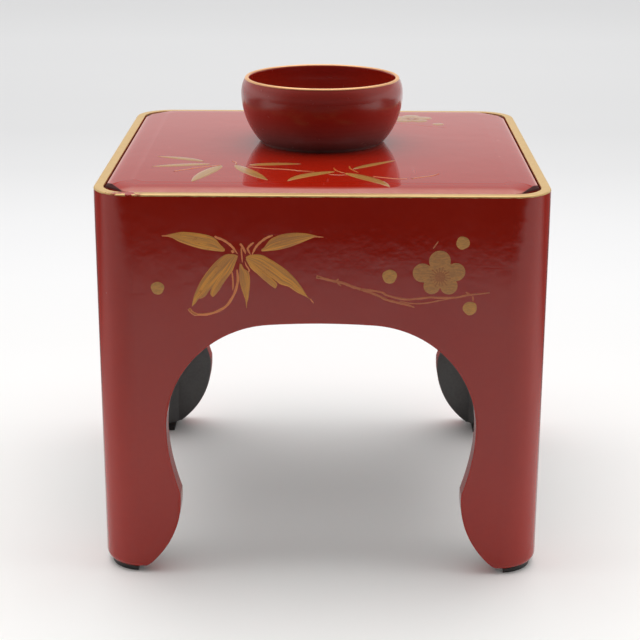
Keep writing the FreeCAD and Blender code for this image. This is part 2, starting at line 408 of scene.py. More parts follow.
class Effects:
    """Node groups that several finishes share, each built once."""

    def __init__(self) -> None:
        """Build every group."""
        self.skin = self._skin()
        self.mottle = self._mottle()
        self.ragged = self._ragged()
        self.specks = self._specks()
        self.strokes = self._strokes()

    @staticmethod
    def _skin() -> bpy.types.NodeTree:
        """The skin of old lacquer: a faint waviness, hairline scratches and rubbed patches."""
        graph = EffectGraph(
            "lacquer_skin",
            {"Wave": Kind.VALUE, "Polished": Kind.VALUE, "Rubbed": Kind.VALUE},
            {"Roughness": Kind.VALUE, "Height": Kind.VALUE, "Hairline": Kind.VALUE})
        given, place = graph.given, graph.place
        wave = graph.noise(place, given["Wave"])
        one = graph.stretched(place, scale=(18, 420, 420), turn=(0, 0, 24))
        one = graph.noise(one, scale=1.0, detail=3.0, rough=0.6)
        two = graph.stretched(place, scale=(380, 22, 380), turn=(12, 0, -17))
        two = graph.noise(two, scale=1.0, detail=3.0, rough=0.6)
        hair = graph.calc("MAXIMUM", graph.ease(one, 0.66, 0.72), graph.ease(two, 0.67, 0.73))
        patch = graph.ease(graph.noise(place, scale=21.0, detail=4.0, rough=0.6), 0.35, 0.75)
        worn = graph.calc("ADD", graph.product(patch, 0.7), graph.product(hair, 0.5), clamp=True)
        return graph.finish({
            "Roughness": graph.lerp(worn, given["Polished"], given["Rubbed"]),
            "Height": graph.calc("SUBTRACT", wave, graph.product(hair, 0.12)),
            "Hairline": hair,
        })

    @staticmethod
    def _mottle() -> bpy.types.NodeTree:
        """Slow changes of depth in a colour, as in hand-laid coats."""
        graph = EffectGraph(
            "mottled_colour",
            {"Shade": Kind.COLOUR, "Scale": Kind.VALUE, "Amount": Kind.VALUE},
            {"Shade": Kind.COLOUR})
        given, place = graph.given, graph.place
        slow = graph.noise(place, given["Scale"], detail=4.0, rough=0.55)
        fine = graph.noise(place, graph.product(given["Scale"], 23.0))
        both = graph.calc("ADD", graph.product(slow, 0.75), graph.product(fine, 0.25))
        swing = graph.product(graph.calc("SUBTRACT", both, 0.5), given["Amount"])
        value = graph.calc("ADD", 1.0, graph.product(swing, 4.0))
        hue = graph.calc("ADD", 0.5, graph.product(swing, 0.04))
        shade = graph.node("ShaderNodeHueSaturation", {"Hue": hue, "Value": value, "Color": given["Shade"]})
        return graph.finish({"Shade": shade.outputs[0]})

    @staticmethod
    def _ragged() -> bpy.types.NodeTree:
        """A mask of all that lies past a level, with an uneven, brushed or chipped edge."""
        graph = EffectGraph(
            "ragged_edge",
            {"Reach": Kind.VALUE, "Level": Kind.VALUE, "Spread": Kind.VALUE, "Scale": Kind.VALUE},
            {"Mask": Kind.VALUE})
        given = graph.given
        rough = graph.noise(graph.place, given["Scale"], detail=4.0, rough=0.65)
        swing = graph.product(graph.calc("SUBTRACT", rough, 0.5), given["Spread"])
        past = graph.calc("SUBTRACT", graph.calc("ADD", given["Reach"], swing), given["Level"])
        return graph.finish({"Mask": graph.ease(past, low=-0.00012, high=0.00012)})

    @staticmethod
    def _specks() -> bpy.types.NodeTree:
        """Scattered specks, for dust, pits and flaked spots."""
        graph = EffectGraph(
            "specks",
            {"Scale": Kind.VALUE, "Share": Kind.VALUE, "Size": Kind.VALUE},
            {"Mask": Kind.VALUE})
        given = graph.given
        cells = graph.node("ShaderNodeTexVoronoi", {"Vector": graph.place, "Scale": given["Scale"]}).outputs
        pick = graph.node("ShaderNodeSeparateColor", {0: cells["Color"]}).outputs
        chosen = graph.calc("LESS_THAN", pick[0], given["Share"])
        radius = graph.product(given["Size"], graph.calc("ADD", 0.4, pick[1]))
        near = graph.calc("SUBTRACT", 1.0, graph.calc("DIVIDE", cells["Distance"], radius), clamp=True)
        return graph.finish({"Mask": graph.product(chosen, graph.ease(near, 0.0, 0.5))})

    @staticmethod
    def _strokes() -> bpy.types.NodeTree:
        """Brush streaks along a leaf or stem, with dark lines and spots rubbed thin."""
        graph = EffectGraph(
            "brush_strokes",
            {"Along": Kind.VECTOR, "Light": Kind.COLOUR, "Deep": Kind.COLOUR},
            {"Shade": Kind.COLOUR, "Height": Kind.VALUE, "Thin": Kind.VALUE})
        given, place = graph.given, graph.place
        streak = graph.stretched(given["Along"], scale=(1.3, 3.4, 1.0))
        streak = graph.noise(streak, scale=1.0, detail=3.0, rough=0.6)
        vein = graph.noise(graph.stretched(given["Along"], scale=(0.5, 2.6, 1.0)), scale=1.0, detail=1.0)
        line = graph.ease(graph.calc("ABSOLUTE", graph.calc("SUBTRACT", vein, 0.5)), 0.045, 0.0)
        powder = graph.noise(place, scale=2600.0)
        tone = graph.ease(graph.calc("ADD", streak, graph.product(powder, 0.30)), 0.42, 0.86)
        tone = graph.calc("SUBTRACT", tone, graph.product(line, 0.75), clamp=True)
        return graph.finish({
            "Shade": graph.mix(tone, given["Deep"], given["Light"]),
            "Height": graph.calc("ADD", streak, graph.product(powder, 0.5)),
            "Thin": graph.ease(graph.noise(place, scale=420.0, detail=4.0, rough=0.65), 0.60, 0.74),
        })


def dress(piece: bpy.types.Object, material: bpy.types.Material) -> None:
    """Give a piece one material in place of what it has.

    Args:
        piece: a node of the frame or a new piece.
        material: its finish.
    """
    piece.data.materials.clear()
    piece.data.materials.append(material)


@dataclass(frozen=True)
class CaseFinish:
    """Red lacquer outside, black inside, a gilt rim and feet worn down to the black."""

    rim: float
    inner_face: float
    red: Colour = RED
    black: Colour = INSIDE_BLACK
    gilt: Colour = rgb(0.82, 0.58, 0.25)
    gilt_deep: Colour = rgb(0.70, 0.44, 0.17)
    gilt_depth: float = 0.0008
    gilt_sway: float = 0.0009
    gilt_metal: float = 0.60
    gilt_roughness: float = 0.40
    chipped: Spot = (-0.0895, -0.1060, 0.1885)
    chip_reach: Pair = (0.004, 0.010)
    dust: Colour = rgb(0.42, 0.30, 0.27)
    dust_cover: float = 0.35
    inside_step: Pair = (0.0007, 0.0002)
    inside_roughness: Pair = (0.34, 0.52)
    foot_wear: float = 0.0030
    foot_sway: float = 0.0034
    ior: float = 1.5

    def material(self, effects: Effects) -> bpy.types.Material:
        """Build the finish.

        Args:
            effects: the shared groups.

        Returns:
            The material.
        """
        graph = MaterialGraph("case_lacquer")
        place = graph.place
        x, y, z = graph.split(place)
        out = graph.calc("MAXIMUM", graph.calc("ABSOLUTE", x), graph.calc("ABSOLUTE", y))
        skin = graph.effect(effects.skin, wave=160.0, polished=0.07, rubbed=0.20)
        red = graph.effect(effects.mottle, shade=self.red, scale=16.0, amount=0.08)[0]
        black = graph.effect(effects.mottle, shade=self.black, scale=30.0, amount=0.4)[0]
        inside = graph.ease(out, *self.inside_step, origin=self.inner_face)
        sound = graph.effect(effects.ragged, reach=z, level=self.foot_wear,
                             spread=self.foot_sway, scale=260.0)[0]
        base = graph.mix(sound, black, graph.mix(inside, red, black))
        dust = graph.effect(effects.specks, scale=150.0, share=0.05, size=0.055)[0]
        base = graph.mix(graph.product(dust, self.dust_cover), base, self.dust)
        gilded = graph.effect(effects.ragged, reach=z, level=self.rim - self.gilt_depth,
                              spread=self.gilt_sway, scale=170.0)[0]
        flaked = graph.ease(graph.noise(place, scale=95.0, detail=5.0, rough=0.7), 0.665, 0.70)
        broken = graph.ease(graph.noise(place, scale=330.0, detail=3.0, rough=0.6), 0.44, 0.50)
        chips = graph.product(graph.near(place, self.chipped, *self.chip_reach), broken)
        rim = graph.product(gilded, graph.rest(graph.calc("MAXIMUM", flaked, chips)))
        leaf = graph.mix(graph.noise(place, scale=260.0, detail=4.0, rough=0.6), self.gilt_deep, self.gilt)
        coat = graph.lerp(inside, skin["Roughness"], graph.span(skin["Roughness"], *self.inside_roughness))
        return graph.finish({
            "Base Color": graph.mix(rim, base, leaf),
            "Metallic": graph.product(rim, self.gilt_metal),
            "Roughness": graph.lerp(rim, coat, self.gilt_roughness),
            "Normal": graph.bump(skin["Height"], strength=0.12, depth=0.0006),
            "IOR": self.ior,
        })


@dataclass(frozen=True)
class LidFinish:
    """Mirror-polished red lacquer with dust, its edges rubbed pale and partly painted with a highlight,
    painted shade in its cut corners, black below.
    """

    bottom: float
    half: float
    cut: float = 0.012
    crown: float = 0.0131
    crown_radius: float = 0.040
    side_fall: int = 9
    front_fall: int = 3
    red: Colour = RED
    black: Colour = BLACK
    under_step: Pair = (0.0006, 0.0002)
    # Painted shade: a dark wedge at each cut corner, standing in for the shaded gap and cut face.
    corner_shade: Colour = rgb(0.045, 0.0040, 0.0034)
    corner_shade_way: Pair = (0.87, 0.50)
    corner_shade_step: Pair = (0.0007, 0.0013)
    corner_shade_above: Pair = (0.0040, 0.0046)
    dust: Colour = rgb(0.62, 0.45, 0.42)
    dust_cover: float = 0.55
    hair_cover: float = 0.05
    # Pale edge colour: partly rubbed lacquer, partly a painted highlight on the rounded arris.
    rubbed: Colour = rgb(0.62, 0.26, 0.21)
    front_rub_and_highlight: Pair = (-0.0070, -0.0022)
    side_rub_and_highlight: Pair = (-0.0020, -0.0004)
    rub_and_highlight_cover: Pair = (0.35, 0.95)
    ior: float = 1.5

    def _fuller(self, graph: Graph, reach: Any, edge: float, power: int) -> bpy.types.NodeSocket:
        """How much fuller the crown is than a plain arc, so that its fall gathers at the edge.

        Args:
            graph: the material's graph.
            reach: distance from the middle towards the edge.
            edge: the edge's own distance.
            power: how late the fall comes.

        Returns:
            The height over the plain arc, in metres.
        """
        past = graph.calc("MAXIMUM", graph.calc("SUBTRACT", reach, edge - self.crown), 0.0)
        arc = graph.product(past, past, 0.5 / self.crown_radius)
        lean = math.asin(self.crown / self.crown_radius)
        late = graph.calc("POWER", graph.product(past, 1.0 / self.crown), power + 1.0)
        return graph.calc("SUBTRACT", arc, graph.product(late, lean * self.crown / (power + 1)))

    def material(self, effects: Effects) -> bpy.types.Material:
        """Build the finish.

        Args:
            effects: the shared groups.

        Returns:
            The material.
        """
        graph = MaterialGraph("lid_lacquer")
        place = graph.place
        x, y, z = graph.split(place)
        x, y = graph.calc("ABSOLUTE", x), graph.calc("ABSOLUTE", y)
        # Painted shade in the cut corners near the top: the dark wedge standing in for the shaded gap.
        across, along = self.corner_shade_way
        corner = graph.calc("ADD", graph.product(x, across), graph.product(y, along))
        cut_start = across * (self.half - self.cut) + along * self.half
        corner_shaded = graph.product(graph.ease(corner, *self.corner_shade_step, origin=cut_start),
                              graph.ease(z, *self.corner_shade_above, origin=self.bottom))
        skin = graph.effect(effects.skin, wave=60.0, polished=0.030, rubbed=0.095)
        red = graph.effect(effects.mottle, shade=self.red, scale=13.0, amount=0.06)[0]
        # Paler, patchy edges: partly wear, partly a painted highlight where the arris mirrors the light
        # above.
        edge = graph.calc("MAXIMUM", graph.ease(y, *self.front_rub_and_highlight, origin=self.half),
                          graph.ease(x, *self.side_rub_and_highlight, origin=self.half))
        patchy = graph.span(graph.noise(place, scale=70.0, detail=3.0, rough=0.6), *self.rub_and_highlight_cover)
        base = graph.mix(graph.product(edge, patchy), red, self.rubbed)
        base = graph.mix(graph.ease(z, *self.under_step, origin=self.bottom), base, self.black)
        large = graph.effect(effects.specks, scale=85.0, share=0.045, size=0.05)[0]
        small = graph.effect(effects.specks, scale=320.0, share=0.035, size=0.09)[0]
        dusty = graph.product(graph.calc("MAXIMUM", large, small), self.dust_cover)
        base = graph.mix(dusty, base, self.dust)
        base = graph.mix(graph.product(skin["Hairline"], self.hair_cover), base, self.dust)
        diagonal = graph.product(graph.calc("ADD", x, y), math.sqrt(0.5))
        cut_edge = (2 * self.half - self.cut) * math.sqrt(0.5)
        full = graph.calc("MAXIMUM", self._fuller(graph, x, self.half, self.side_fall),
                          self._fuller(graph, y, self.half, self.front_fall))
        full = graph.calc("MAXIMUM", full, self._fuller(graph, diagonal, cut_edge, self.front_fall))
        crowned = graph.bump(full, strength=1.0, depth=1.0)
        return graph.finish({
            "Base Color": graph.mix(corner_shaded, base, self.corner_shade),
            "Roughness": graph.lerp(graph.calc("MAXIMUM", dusty, corner_shaded), skin["Roughness"], 1.0),
            "Normal": graph.bump(skin["Height"], strength=0.05, depth=0.0005, below=crowned),
            "IOR": self.ior,
        })


@dataclass(frozen=True)
class BowlFinish:
    """Turned bowl in satin red lacquer, its inside painted a lighter red as painted light, darker and dusty
    towards the foot, with a gilt lip.
    """

    middle: tuple[float, float, float]
    foot: float
    top: float
    red: Colour = rgb(0.335, 0.0240, 0.0145)
    # Painted light: a brighter red for the inside faces, which are the same lacquer as the outside.
    inner: Colour = rgb(0.375, 0.0230, 0.0095)
    deep: Colour = rgb(0.175, 0.0900, 0.0870)
    gilt: Colour = rgb(0.95, 0.56, 0.26)
    gilt_deep: Colour = rgb(0.82, 0.40, 0.16)
    gilt_depth: float = 0.0008
    gilt_sway: float = 0.0004
    gilt_inside: float = 0.0377
    gilt_step: Pair = (-0.0002, 0.0002)
    gilt_metal: float = 0.4
    gilt_roughness: float = 0.36
    deep_step: Pair = (0.0, 0.020)
    lit_inside_step: Pair = (0.006, 0.001)
    dust: Colour = rgb(0.45, 0.34, 0.31)
    dust_step: Pair = (0.022, 0.004)
    dust_roughness: float = 0.55
    foot_step: Pair = (0.0020, 0.0008)
    foot_wear: Pair = (0.1, 0.8)
    ior: float = 1.62

    def material(self, effects: Effects) -> bpy.types.Material:
        """Build the finish.

        Args:
            effects: the shared groups.

        Returns:
            The material.
        """
        graph = MaterialGraph("bowl_lacquer")
        place = graph.place
        z = graph.split(place)[2]
        skin = graph.effect(effects.skin, wave=120.0, polished=0.17, rubbed=0.31)
        turned = graph.noise(graph.stretched(place, (6.0, 6.0, 900.0)), scale=1.0)
        shade = graph.mix(graph.ease(z, *self.deep_step, origin=self.foot), self.deep, self.red)
        # Inside faces get the brighter red: painted light on the inside of the bowl.
        spoke = graph.vector("SUBTRACT", place, self.middle)["Vector"]
        level = graph.vector("MULTIPLY", spoke, (1.0, 1.0, 0.0))["Vector"]
        facing = graph.node("ShaderNodeNewGeometry").outputs["Normal"]
        outward = graph.vector("DOT_PRODUCT", facing, level)["Value"]
        shade = graph.mix(graph.ease(outward, *self.lit_inside_step), shade, self.inner)
        base = graph.effect(effects.mottle, shade=shade, scale=26.0, amount=0.12)[0]
        dust = graph.effect(effects.specks, scale=520.0, share=0.10, size=0.16)[0]
        low = graph.ease(z, *self.dust_step, origin=self.foot)
        dusty = graph.calc("ADD", graph.product(dust, graph.span(low, 0.10, 0.45)),
                           graph.product(low, graph.span(turned, 0.02, 0.14)))
        patchy = graph.span(graph.noise(place, scale=240.0, detail=4.0, rough=0.6), *self.foot_wear)
        worn = graph.product(graph.ease(z, *self.foot_step, origin=self.foot), patchy)
        dusty = graph.calc("MAXIMUM", dusty, worn)
        base = graph.mix(dusty, base, self.dust)
        gilded = graph.effect(effects.ragged, reach=z, level=self.top - self.gilt_depth,
                              spread=self.gilt_sway, scale=160.0)[0]
        radius = graph.vector("LENGTH", level)["Value"]
        rim = graph.product(gilded, graph.ease(radius, *self.gilt_step, origin=self.gilt_inside))
        leaf = graph.mix(graph.noise(place, scale=300.0, detail=3.0), self.gilt_deep, self.gilt)
        coat = graph.lerp(dusty, skin["Roughness"], self.dust_roughness)
        height = graph.calc("ADD", skin["Height"], graph.product(turned, 0.18))
        return graph.finish({
            "Base Color": graph.mix(rim, base, leaf),
            "Metallic": graph.product(rim, self.gilt_metal),
            "Roughness": graph.lerp(rim, coat, self.gilt_roughness),
            "Normal": graph.bump(height, strength=0.10, depth=0.0005),
            "IOR": self.ior,
        })


@dataclass(frozen=True)
class BlackFinish:
    """Black lacquer, rubbed brown in places."""

    black: Colour = BLACK
    brown: Colour = rgb(0.055, 0.032, 0.022)
    brown_cover: float = 0.7
    dust: Colour = rgb(0.16, 0.15, 0.14)
    dust_cover: float = 0.5

    def material(self, effects: Effects) -> bpy.types.Material:
        """Build the finish.

        Args:
            effects: the shared groups.

        Returns:
            The material.
        """
        graph = MaterialGraph("black_lacquer")
        skin = graph.effect(effects.skin, wave=140.0, polished=0.26, rubbed=0.50)
        rubbed = graph.ease(graph.noise(graph.place, scale=180.0, detail=5.0, rough=0.65), 0.58, 0.74)
        base = graph.effect(effects.mottle, shade=self.black, scale=34.0, amount=0.4)[0]
        base = graph.mix(graph.product(rubbed, self.brown_cover), base, self.brown)
        dust = graph.effect(effects.specks, scale=260.0, share=0.06, size=0.10)[0]
        return graph.finish({
            "Base Color": graph.mix(graph.product(dust, self.dust_cover), base, self.dust),
            "Roughness": skin["Roughness"],
            "Normal": graph.bump(skin["Height"], strength=0.15, depth=0.0006),
        })


@dataclass(frozen=True)
class WoodFinish:
    """Bare softwood of the loose tongues, its grain running up."""

    early: Colour = rgb(0.58, 0.40, 0.23)
    late: Colour = rgb(0.33, 0.18, 0.08)
    roughness: Pair = (0.55, 0.80)

    def material(self, effects: Effects) -> bpy.types.Material:
        """Build the finish.

        Args:
            effects: the shared groups.

        Returns:
            The material.
        """
        graph = MaterialGraph("bare_wood")
        rings = graph.stretched(graph.place, (420.0, 420.0, 9.0))
        rings = graph.noise(rings, scale=1.0, detail=4.0, rough=0.6)
        fibre = graph.noise(graph.stretched(graph.place, (2400.0, 2400.0, 40.0)), scale=1.0)
        grain = graph.ease(graph.calc("ADD", rings, graph.product(fibre, 0.3)), 0.45, 0.85)
        shade = graph.mix(grain, self.early, self.late)
        return graph.finish({
            "Base Color": graph.effect(effects.mottle, shade=shade, scale=40.0, amount=0.12)[0],
            "Roughness": graph.span(fibre, *self.roughness),
            "Normal": graph.bump(fibre, strength=0.3, depth=0.0003),
        })


@dataclass(frozen=True)
class GoldFinish:
    """Gold powder brushed onto the lacquer, streaky and rubbed thin in spots."""

    name: str
    light: Colour
    deep: Colour
    thin: float = 0.40
    metal: float = 0.10
    gloss: Pair = (0.34, 0.56)
    under: Colour = RED

    def material(self, effects: Effects) -> bpy.types.Material:
        """Build the finish.

        Args:
            effects: the shared groups.

        Returns:
            The material.
        """
        graph = MaterialGraph(self.name)
        along = graph.node("ShaderNodeTexCoord").outputs["UV"]
        brush = graph.effect(effects.strokes, along=along, light=self.light, deep=self.deep)
        bare = graph.product(brush["Thin"], self.thin)
        return graph.finish({
            "Base Color": graph.mix(bare, brush["Shade"], self.under),
            "Metallic": graph.product(graph.rest(bare), self.metal),
            "Roughness": graph.span(brush["Height"], *self.gloss),
            "Normal": graph.bump(brush["Height"], strength=0.20, depth=0.00006),
        })


@dataclass(frozen=True)
class Palette:
    """The golds of one face's ornament."""

    leaf: GoldFinish
    stem: GoldFinish
    bloom: GoldFinish
    bud: GoldFinish
    heart: GoldFinish
    branch: GoldFinish


FRONT_GOLDS = Palette(
    leaf=GoldFinish("front_gold_leaf", rgb(0.98, 0.44, 0.073), rgb(0.56, 0.23, 0.075)),
    stem=GoldFinish("front_gold_stem", rgb(1.00, 0.38, 0.145), rgb(0.80, 0.24, 0.085), thin=0.2),
    bloom=GoldFinish("front_gold_bloom", rgb(0.64, 0.30, 0.095), rgb(0.46, 0.21, 0.080), thin=0.3),
    bud=GoldFinish("front_gold_bud", rgb(0.74, 0.36, 0.100), rgb(0.54, 0.26, 0.085), thin=0.3),
    heart=GoldFinish("front_gold_heart", rgb(0.51, 0.19, 0.075), rgb(0.40, 0.14, 0.055), thin=0.5),
    branch=GoldFinish("front_gold_branch", rgb(0.72, 0.260, 0.110), rgb(0.52, 0.130, 0.060), thin=0.7),
)
LID_GLOSS = (0.05, 0.11)


def lid_gold(part: str, light: Colour, deep: Colour, thin: float) -> GoldFinish:
    """A gold of the lid, under a clear coat nearly as glossy as the lid's own."""
    return GoldFinish("lid_gold_" + part, light, deep, thin, metal=0.0, gloss=LID_GLOSS)


LID_GOLDS = Palette(
    leaf=lid_gold("leaf", rgb(0.50, 0.255, 0.070), rgb(0.34, 0.165, 0.045), thin=0.4),
    stem=lid_gold("stem", rgb(0.58, 0.180, 0.045), rgb(0.45, 0.100, 0.025), thin=0.2),
    bloom=lid_gold("bloom", rgb(0.44, 0.220, 0.075), rgb(0.34, 0.150, 0.050), thin=0.3),
    bud=lid_gold("bud", rgb(0.44, 0.220, 0.075), rgb(0.34, 0.150, 0.050), thin=0.3),
    heart=lid_gold("heart", rgb(0.38, 0.130, 0.050), rgb(0.30, 0.090, 0.035), thin=0.5),
    branch=lid_gold("branch", rgb(0.44, 0.085, 0.030), rgb(0.38, 0.040, 0.015), thin=0.7),
)


@dataclass(frozen=True)
class Leaf:
    """A slim bamboo leaf, in millimetres on its face: where it starts and ends and how wide it is."""

    base: Pair
    tip: Pair
    half_width: float
    bow: float = 0.0


@dataclass(frozen=True)
class Blade:
    """A broad bamboo leaf, drawn by its two edges, each run from the stem to the tip."""

    upper: tuple[Pair, ...]
    lower: tuple[Pair, ...]


@dataclass(frozen=True)
class Stroke:
    """A thin brush stroke through a few points, and how full it is at its two ends."""

    points: tuple[Pair, ...]
    half_width: float
    ends: Pair = (0.55, 0.30)


@dataclass(frozen=True)
class Dot:
    """A round bud."""

    centre: Pair
    radius: float


@dataclass(frozen=True)
class Blossom:
    """A five-petalled blossom: its middle, and the middle and radius of each petal."""

    centre: Pair
    petals: tuple[tuple[float, float, float], ...]
    heart: float


@dataclass(frozen=True)
class Ground:
    """A face for ornament: a point on it, its two axes, the way out of it, its body and its surface."""

    RAY_START = 0.02

    face: Face
    origin: Vector
    across: Vector
    up: Vector
    out: Vector
    body: str
    surface: BVHTree

    def at(self, u: float, v: float, height: float) -> Vector:
        """A point over the face.

        Args:
            u: millimetres across.
            v: millimetres up.
            height: millimetres out of the surface.

        Returns:
            The point, in metres.
        """
        point = self.origin + (self.across * u + self.up * v) * MM
        met = self.surface.ray_cast(point + self.out * self.RAY_START, -self.out)[0]
        return (met or point) + self.out * (height * MM)


def surface_of(pieces: Sequence[bpy.types.Object]) -> BVHTree:
    """The surface of some nodes, for setting ornament on it.

    Args:
        pieces: the nodes.

    Returns:
        A tree that rays can be cast at.
    """
    points: list[Vector] = []
    faces: list[list[int]] = []
    for piece in pieces:
        first = len(points)
        points += [vertex.co.copy() for vertex in piece.data.vertices]
        faces += [[first + index for index in face.vertices] for face in piece.data.polygons]
    return BVHTree.FromPolygons(points, faces)


def smooth_path(points: Sequence[Pair], steps: int) -> list[Vector]:
    """A smooth run through points.

    Args:
        points: the points, in order.
        steps: pieces between one point and the next.

    Returns:
        Points along the run, the given ones included.
    """
    known = [Vector(p) for p in points]
    known = [known[0] * 2 - known[1], *known, known[-1] * 2 - known[-2]]
    run = []
    for a, b, c, d in zip(known, known[1:], known[2:], known[3:]):
        for step in range(steps):
            t = step / steps
            run.append(0.5 * (2 * b + (c - a) * t + (2 * a - 5 * b + 4 * c - d) * t ** 2
                              + (3 * b - a - 3 * c + d) * t ** 3))
    run.append(known[-2])
    return run


def even_run(points: Sequence[Pair], count: int) -> list[Vector]:
    """A smooth run through points, in even steps.

    Args:
        points: the points, in order.
        count: how many points the run gets.

    Returns:
        Points along the run at equal distances.
    """
    run = smooth_path(points, 10)
    marks = [0.0]
    for a, b in zip(run, run[1:]):
        marks.append(marks[-1] + (b - a).length)
    even, index = [], 0
    for step in range(count):
        mark = marks[-1] * step / (count - 1)
        while index < len(run) - 2 and marks[index + 1] < mark:
            index += 1
        gap = marks[index + 1] - marks[index]
        even.append(run[index].lerp(run[index + 1], (mark - marks[index]) / gap if gap else 0.0))
    return even


def turns(count: int) -> list[float]:
    """Angles at equal steps, once round."""
    return [2 * math.pi * index / count for index in range(count)]


class Relief:
    """Slightly raised ornament on one face, gathered into one mesh; lengths in millimetres."""

    SUNK = 0.03
    SQUARENESS = 8
    COLUMNS = 9
    STEPS = 41
    STREAK_SHIFT = 3
    LEAF_SWELL = 0.62
    LEAF_TAPER = 0.86
    LEAF_WIDEST = 0.42
    LEAF_BLUNT = 0.05
    STROKE_STEPS = 10
    STROKE_ONSET = 3.0
    STROKE_LIFT = 2.4
    STROKE_WAVER = 0.10
    STROKE_WAVES = 41
    RINGS = 6
    PATCH_STREAKS = 0.3
    BUD_POINTS = 36
    BLOSSOM_POINTS = 120
    BLOSSOM_LEAST = 1.0
    HEART_DISC = 0.62
    STAMENS = 17
    STAMEN_TURN = 0.2
    STAMEN_HALF = 0.26
    STAMEN_TIP = 0.42

    def __init__(self, ground: Ground, height: float) -> None:
        """Start with nothing drawn.

        Args:
            ground: the face it lies on.
            height: how far it stands out, in millimetres.
        """
        self.ground = ground
        self.height = height
        self.points: list[Vector] = []
        self.faces: list[tuple[int, ...]] = []
        self.along: list[Pair] = []

    def _dome(self, share: float) -> float:
        """Height at a share of the way from the middle to the edge."""
        return self.height * math.sqrt(max(0.0, 1.0 - share ** self.SQUARENESS)) - self.SUNK

    def _fullness(self, share: float) -> float:
        """How full a slim leaf is at a share of its length."""
        return share ** self.LEAF_SWELL * (1 - share) ** self.LEAF_TAPER

    @staticmethod
    def _shift(start: Sequence[float], end: Sequence[float]) -> float:
        """A shift of the streaks that differs from leaf to leaf."""
        return start[0] * 0.37 + end[1] * 0.11

    def _web(self, one: Sequence[Vector], other: Sequence[Vector], shift: float) -> None:
        """A domed web between two edges.

        Args:
            one: points of one edge.
            other: points of the other edge, as many.
            shift: moves its streaks, so that no two webs look alike.
        """
        first = len(self.points)
        count = len(one)
        for index, (left, right) in enumerate(zip(one, other)):
            for column in range(self.COLUMNS):
                share = 2 * column / (self.COLUMNS - 1) - 1
                here = left.lerp(right, (share + 1) / 2)
                self.points.append(self.ground.at(here.x, here.y, self._dome(abs(share))))
                self.along.append((index / (count - 1) + shift, share + shift * self.STREAK_SHIFT))
        for index in range(count - 1):
            for column in range(self.COLUMNS - 1):
                a = first + index * self.COLUMNS + column
                self.faces.append((a, a + 1, a + 1 + self.COLUMNS, a + self.COLUMNS))

    def _band(self, middle: Sequence[Vector], halves: Sequence[float], shift: float) -> None:
        """A domed band along a run.

        Args:
            middle: points of its middle line.
            halves: half its width at each.
            shift: moves its streaks.
        """
        one, other = [], []
        last = len(middle) - 1
        for index, (spot, half) in enumerate(zip(middle, halves)):
            ahead = middle[min(index + 1, last)] - middle[max(index - 1, 0)]
            side = Vector((-ahead.y, ahead.x)).normalized() * half
            one.append(spot + side)
            other.append(spot - side)
        self._web(one, other, shift)

    def leaf(self, leaf: Leaf) -> None:
        """Draw a slim leaf: narrow at its start, widest before its middle, long in the tip."""
        base, tip = Vector(leaf.base), Vector(leaf.tip)
        axis = tip - base
        side = Vector((-axis.y, axis.x)).normalized()
        middle, halves = [], []
        widest = self._fullness(self.LEAF_WIDEST)
        for step in range(self.STEPS):
            t = step / (self.STEPS - 1)
            middle.append(base + axis * t + side * (leaf.bow * 4 * t * (1 - t)))
            halves.append(leaf.half_width * self._fullness(t) / widest + self.LEAF_BLUNT)
        self._band(middle, halves, self._shift(base, tip))

    def blade(self, blade: Blade) -> None:
        """Draw a broad leaf between its edges."""
        upper = even_run(blade.upper, self.STEPS)
        lower = even_run(blade.lower, self.STEPS)
        self._web(upper, lower, self._shift(blade.upper[0], blade.upper[-1]))

    def stroke(self, stroke: Stroke) -> None:
        """Draw a stem or twig, set down and lifted off as its ends say."""
        middle = smooth_path(stroke.points, self.STROKE_STEPS)
        last = len(middle) - 1
        start, end = stroke.ends
        first = stroke.points[0][0]
        halves = []
        for index in range(last + 1):
            t = index / last
            swell = min(1.0, start + self.STROKE_ONSET * t) * min(1.0, end + self.STROKE_LIFT * (1 - t))
            waver = 1 + self.STROKE_WAVER * math.sin(self.STROKE_WAVES * t + first)
            halves.append(stroke.half_width * swell * waver)
        self._band(middle, halves, first * 0.21)

    def _star(self, centre: Pair, reach: Sequence[float]) -> None:
        """A domed patch around a middle.

        Args:
            centre: the middle.
            reach: how far the patch goes, at equal turns.
        """
        count = len(reach)
        first = len(self.points)
        self.points.append(self.ground.at(centre[0], centre[1], self._dome(0)))
        self.along.append((centre[0] * self.PATCH_STREAKS, centre[1] * self.PATCH_STREAKS))
        for ring in range(1, self.RINGS + 1):
            share = ring / self.RINGS
            for turn, far in zip(turns(count), reach):
                u = centre[0] + math.cos(turn) * far * share
                v = centre[1] + math.sin(turn) * far * share
                self.points.append(self.ground.at(u, v, self._dome(share)))
                self.along.append((u * self.PATCH_STREAKS, v * self.PATCH_STREAKS))
        for index in range(count):
            after = (index + 1) % count
            self.faces.append((first, first + 1 + index, first + 1 + after))
            for ring in range(self.RINGS - 1):
                a = first + 1 + ring * count
                self.faces.append((a + index, a + count + index, a + count + after, a + after))

    def dot(self, dot: Dot) -> None:
        """Draw a bud, not quite round."""
        u, v = dot.centre
        reach = []
        for turn in turns(self.BUD_POINTS):
            reach.append(dot.radius * (1 + 0.035 * math.sin(3 * turn + u) + 0.02 * math.sin(5 * turn + v)))
        self._star(dot.centre, reach)

    def blossom(self, blossom: Blossom) -> None:
        """Draw a blossom: as far as the petals reach in each direction."""
        u, v = blossom.centre
        reach = []
        for turn in turns(self.BLOSSOM_POINTS):
            way = Vector((math.cos(turn), math.sin(turn)))
            far = self.BLOSSOM_LEAST
            for pu, pv, radius in blossom.petals:
                offset = Vector((pu - u, pv - v))
                along = offset.dot(way)
                miss = offset.length_squared - along ** 2
                if miss < radius ** 2:
                    far = max(far, along + math.sqrt(radius ** 2 - miss))
            reach.append(far)
        self._star(blossom.centre, reach)

